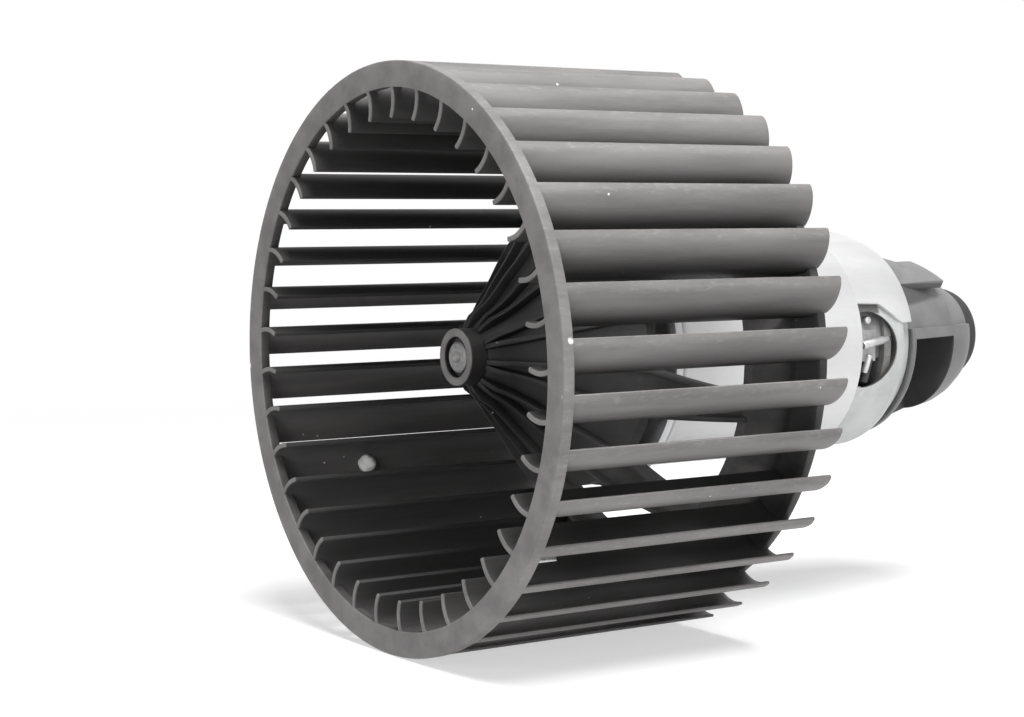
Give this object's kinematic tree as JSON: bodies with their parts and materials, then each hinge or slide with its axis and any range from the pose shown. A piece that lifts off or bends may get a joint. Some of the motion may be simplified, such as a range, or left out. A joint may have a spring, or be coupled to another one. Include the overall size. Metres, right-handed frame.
{
  "type": "heater blower motor",
  "caption": "Heater blower: open drum fan wheel with curved blades and a ribbed hub on the shaft of a can motor with a socketed end cap.",
  "frame": {"origin": "on the shaft axis, in the middle of the can's wall that the heater case clamps, 110 mm behind the wheel's inlet face", "axes": "+Y along the shaft from the wheel's inlet towards the motor's cap; +Z towards the cap's raised pad; +X towards the side with the plug's bay"},
  "size_m": [0.15, 0.1988, 0.15],
  "materials": {
    "wheel_plastic": "semi-matt black moulded plastic",
    "spring_steel_dark": "blackened spring steel",
    "clip_steel": "bright spring steel",
    "putty": "white putty",
    "shaft_steel": "ground steel",
    "core_steel": "varnished steel sheets",
    "winding_copper": "enamelled copper wire",
    "comm_body": "brown phenolic",
    "comm_copper": "turned copper",
    "washer_plastic": "natural nylon",
    "can_steel": "bright zinc-plated drawn steel",
    "plate_steel": "bright zinc-plated steel",
    "bush_bronze": "sintered bronze",
    "retainer_steel": "spring steel",
    "magnet_ferrite": "sintered ferrite",
    "strip_steel": "spring steel strip",
    "end_cup_metal": "grey pressed metal",
    "brush_board": "brown phenolic",
    "tube_brass": "pressed brass",
    "carbon": "carbon",
    "spring_steel": "spring steel wire",
    "lead_copper": "stranded copper",
    "choke_ferrite": "ferrite",
    "choke_copper": "enamelled copper wire",
    "terminal_tin": "tin-plated brass",
    "cap_plastic": "semi-matt black moulded plastic",
    "plug_rubber": "black rubber"
  },
  "bodies": {
    "motor": {"motor_can": "can_steel", "front_plate": "plate_steel", "flange_rivets": "plate_steel", "front_bearing": "bush_bronze", "front_retainer": "retainer_steel", "magnet_upper": "magnet_ferrite", "magnet_lower": "magnet_ferrite", "magnet_spring_near": "strip_steel", "magnet_spring_far": "strip_steel", "rear_plate": "end_cup_metal", "rear_bearing": "bush_bronze", "rear_retainer": "retainer_steel", "brush_plate": "brush_board", "brush_tube_near": "tube_brass", "brush_tube_far": "tube_brass", "brush_spring_near": "spring_steel", "brush_spring_far": "spring_steel", "brush_lead_near": "lead_copper", "brush_lead_far": "lead_copper", "choke_rod_upper": "choke_ferrite", "choke_rod_lower": "choke_ferrite", "choke_coil_upper": "choke_copper", "choke_coil_lower": "choke_copper", "terminal_stem": "terminal_tin", "terminal_bar": "terminal_tin", "rear_cap": "cap_plastic", "end_plug": "plug_rubber"},
    "rotor": {"impeller": "wheel_plastic", "hub_clip": "spring_steel_dark", "balance_clip": "clip_steel", "balance_dab": "putty", "shaft": "shaft_steel", "armature_core": "core_steel", "armature_windings": "winding_copper", "commutator_body": "comm_body", "commutator_bars": "comm_copper", "front_thrust_washer": "washer_plastic", "rear_thrust_washer": "washer_plastic"},
    "near_brush": {"brush_near": "carbon"},
    "far_brush": {"brush_far": "carbon"}
  },
  "joints": [
    {"name": "wheel_spin", "type": "hinge", "parent": "motor", "child": "rotor", "pos_m": [0, 0, 0], "axis": [0, 1, 0], "continuous": true},
    {"name": "brush_push_near", "type": "slide", "parent": "motor", "child": "near_brush", "axis": [1, 0, 0], "range_m": [0, 0.0018], "deforming": ["brush_spring_near", "brush_lead_near"]},
    {"name": "brush_push_far", "type": "slide", "parent": "motor", "child": "far_brush", "axis": [-1, 0, 0], "range_m": [0, 0.0018], "deforming": ["brush_spring_far", "brush_lead_far"]}
  ]
}
